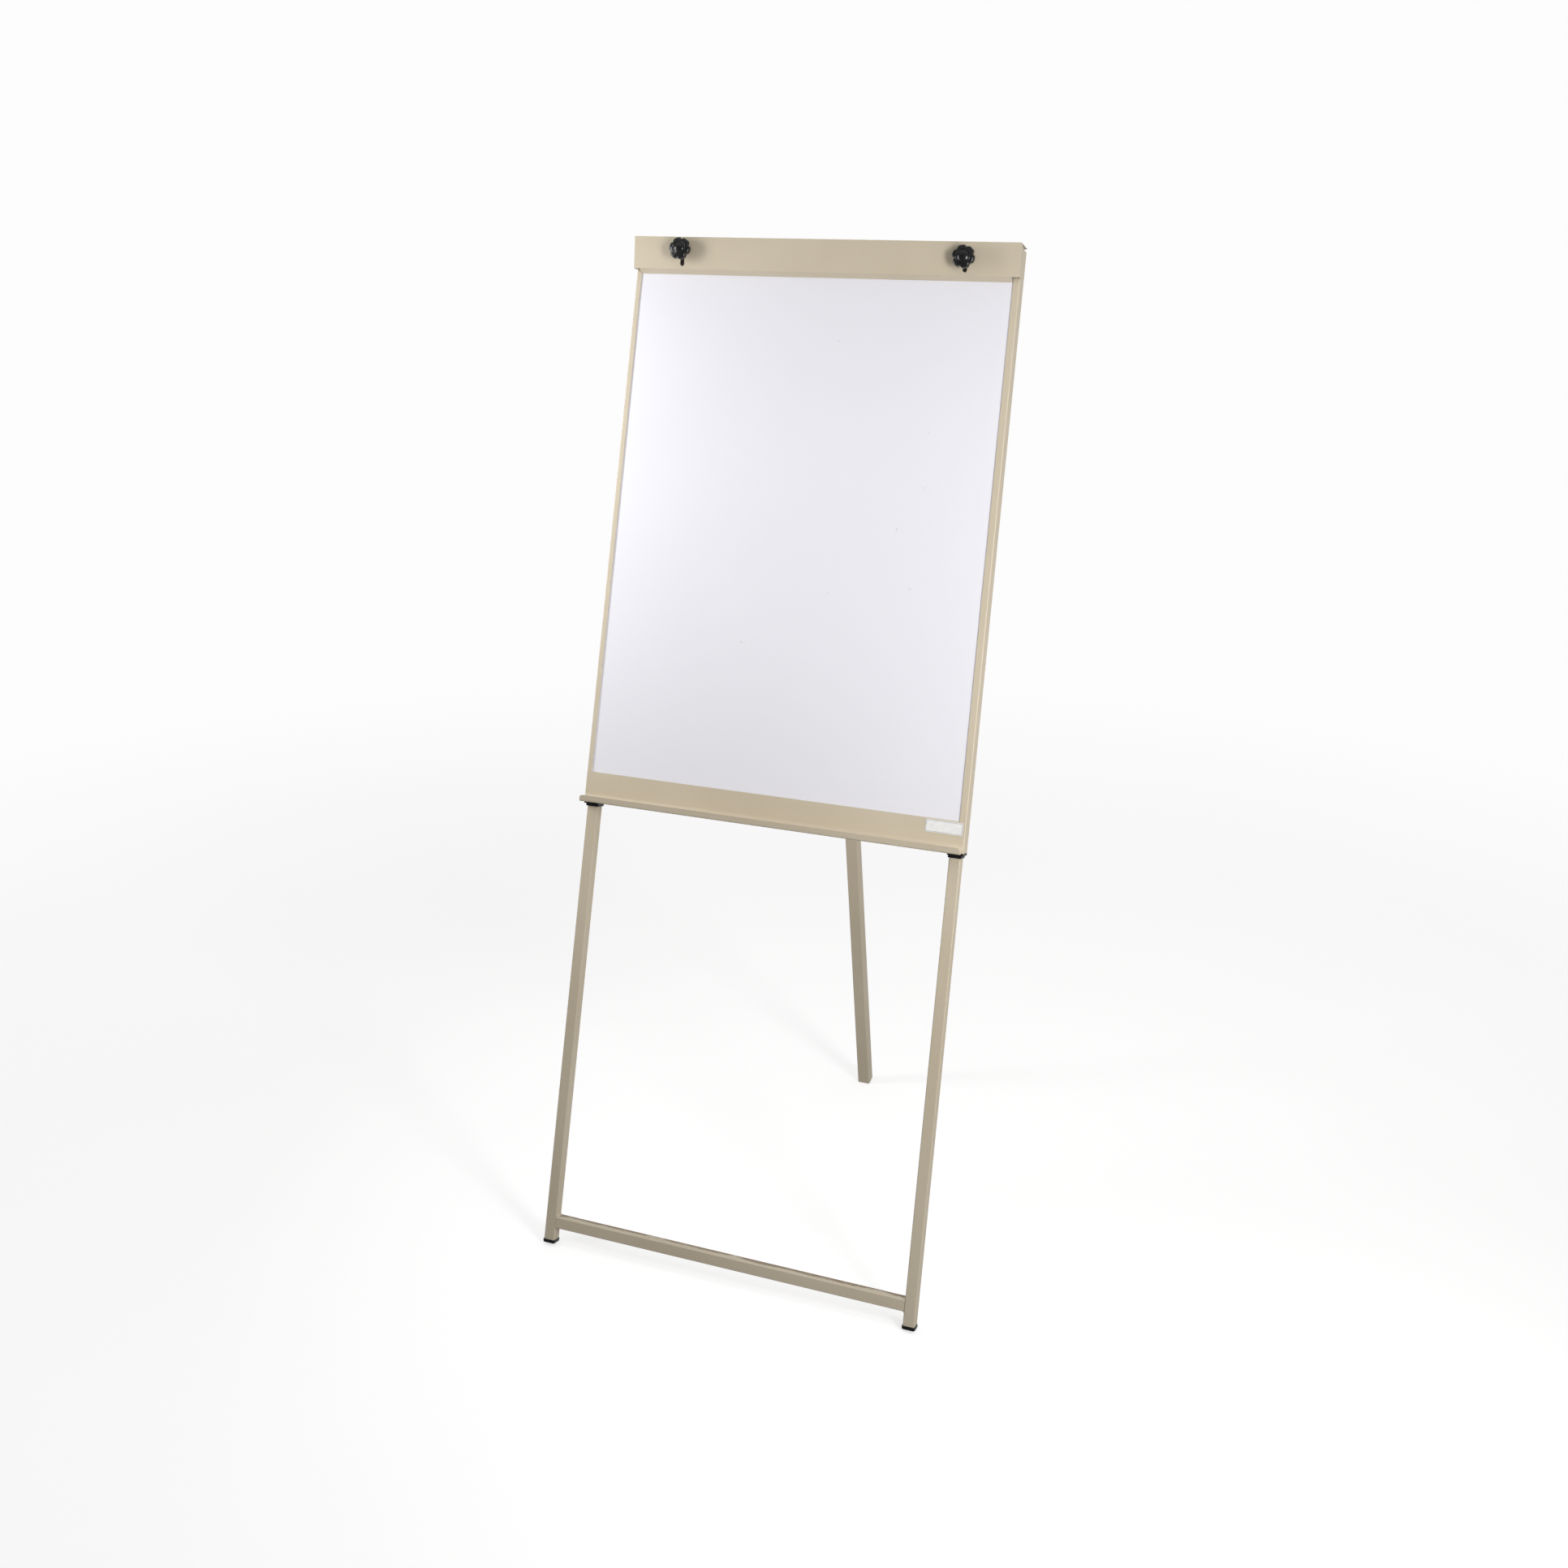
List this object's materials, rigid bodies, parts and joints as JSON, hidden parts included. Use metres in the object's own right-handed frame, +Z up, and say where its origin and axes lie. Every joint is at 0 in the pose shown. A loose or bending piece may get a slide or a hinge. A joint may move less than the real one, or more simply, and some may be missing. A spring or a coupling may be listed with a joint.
{
  "type": "flipchart easel",
  "caption": "Free-standing flipchart easel with a white writing board, a clamping header, a pen tray, a telescopic front leg frame and a folding telescopic rear leg.",
  "frame": {"origin": "on the floor, at the middle of the footprint of the standing easel", "axes": "+Z up; the writing face looks towards -Y and leans back towards +Y; +X is to the right of someone facing the board"},
  "size_m": [0.7026, 0.8124, 1.7662],
  "materials": {
    "beige_coat": "beige powder coat, satin, fine orange peel",
    "white_enamel": "white writing enamel, semi-gloss",
    "hardboard": "bare hardboard back",
    "black_plastic": "moulded, satin",
    "zinc_steel": "bright zinc plating",
    "label_film": "plain printed film"
  },
  "bodies": {
    "board": {"side_channel_left": "beige_coat", "side_channel_right": "beige_coat", "whiteboard_face": "white_enamel", "board_core": "hardboard", "stud_rail": "beige_coat", "hinge_rail": "beige_coat", "bottom_rail": "beige_coat", "stud_rail_rivet_left": "zinc_steel", "stud_rail_rivet_right": "zinc_steel", "hinge_rail_rivet_left": "zinc_steel", "hinge_rail_rivet_right": "zinc_steel", "bottom_rail_rivet_left": "zinc_steel", "bottom_rail_rivet_right": "zinc_steel", "pen_tray": "beige_coat", "blank_label": "label_film", "guide_collar_left": "black_plastic", "guide_collar_right": "black_plastic", "clamp_stud_left": "zinc_steel", "clamp_stud_right": "zinc_steel", "stud_nut_left": "zinc_steel", "stud_nut_right": "zinc_steel", "hinge_bracket": "zinc_steel", "bracket_screw_left": "zinc_steel", "bracket_screw_right": "zinc_steel", "pivot_bolt": "zinc_steel", "pivot_nut": "zinc_steel", "leg_lock_nut_left": "zinc_steel", "leg_lock_nut_right": "zinc_steel"},
    "leg_frame": {"leg_tube_left": "beige_coat", "leg_tube_right": "beige_coat", "crossbar": "beige_coat", "foot_cap_left": "black_plastic", "foot_cap_right": "black_plastic", "leg_glide_left": "black_plastic", "leg_glide_right": "black_plastic"},
    "rear_leg_upper": {"rear_upper_tube": "beige_coat", "pivot_spacer_left": "black_plastic", "pivot_spacer_right": "black_plastic", "rear_glide": "black_plastic"},
    "rear_leg_lower": {"rear_lower_tube": "beige_coat", "rear_end_plug": "black_plastic", "rear_cuff": "black_plastic", "rear_lock_nut": "zinc_steel"},
    "rear_lock": {"rear_lock_screw": "zinc_steel", "rear_lock_knob": "black_plastic"},
    "leg_lock_left": {"leg_lock_screw_left": "zinc_steel", "leg_lock_knob_left": "black_plastic"},
    "leg_lock_right": {"leg_lock_screw_right": "zinc_steel", "leg_lock_knob_right": "black_plastic"},
    "clamp_washers": {"clamp_washer_left": "zinc_steel", "clamp_washer_right": "zinc_steel"},
    "header": {"clamp_header": "beige_coat"},
    "knob_left": {"clamp_knob_left": "black_plastic", "knob_insert_left": "zinc_steel"},
    "knob_right": {"clamp_knob_right": "black_plastic", "knob_insert_right": "zinc_steel"}
  },
  "joints": [
    {"name": "leg_frame_slide", "type": "slide", "parent": "board", "child": "leg_frame", "axis": [0, 0.2368, 0.9715], "range_m": [0, 0.7]},
    {"name": "rear_leg_fold", "type": "hinge", "parent": "board", "child": "rear_leg_upper", "pos_m": [0, 0.03574, 1.63895], "axis": [-1, 0, 0], "range_deg": [0, 26]},
    {"name": "rear_leg_slide", "type": "slide", "parent": "rear_leg_upper", "child": "rear_leg_lower", "axis": [0, -0.2139, 0.9769], "range_m": [0, 0.65]},
    {"name": "rear_lock_spin", "type": "hinge", "parent": "rear_leg_lower", "child": "rear_lock", "pos_m": [0, 0.21334, 0.92129], "axis": [0, 0.9769, 0.2139], "range_deg": [0, 720]},
    {"name": "leg_lock_left_spin", "type": "hinge", "parent": "board", "child": "leg_lock_left", "pos_m": [-0.331, -0.16754, 0.83039], "axis": [0, 0.9715, -0.2368], "range_deg": [0, 720]},
    {"name": "leg_lock_right_spin", "type": "hinge", "parent": "board", "child": "leg_lock_right", "pos_m": [0.331, -0.16754, 0.83039], "axis": [0, 0.9715, -0.2368], "range_deg": [0, 720]},
    {"name": "clamp_open", "type": "slide", "parent": "board", "child": "clamp_washers", "axis": [0, -0.9715, 0.2368], "range_m": [0, 0.008]},
    {"name": "header_lift", "type": "slide", "parent": "clamp_washers", "child": "header", "axis": [0, 0.2368, 0.9715], "range_m": [0, 0.019]},
    {"name": "knob_right_spin", "type": "hinge", "parent": "clamp_washers", "child": "knob_right", "pos_m": [0.2575, -0.00829, 1.73954], "axis": [0, -0.9715, 0.2368], "range_deg": [0, 2885]},
    {"name": "knob_left_spin", "type": "hinge", "parent": "clamp_washers", "child": "knob_left", "pos_m": [-0.2575, -0.00722, 1.74391], "axis": [0, -0.9715, 0.2368], "range_deg": [0, 2885]}
  ],
  "couplings": [
    {"joint": "knob_right_spin", "follows": "clamp_open", "rad_per_m": 6283.2},
    {"joint": "knob_left_spin", "follows": "clamp_open", "rad_per_m": 6283.2}
  ]
}
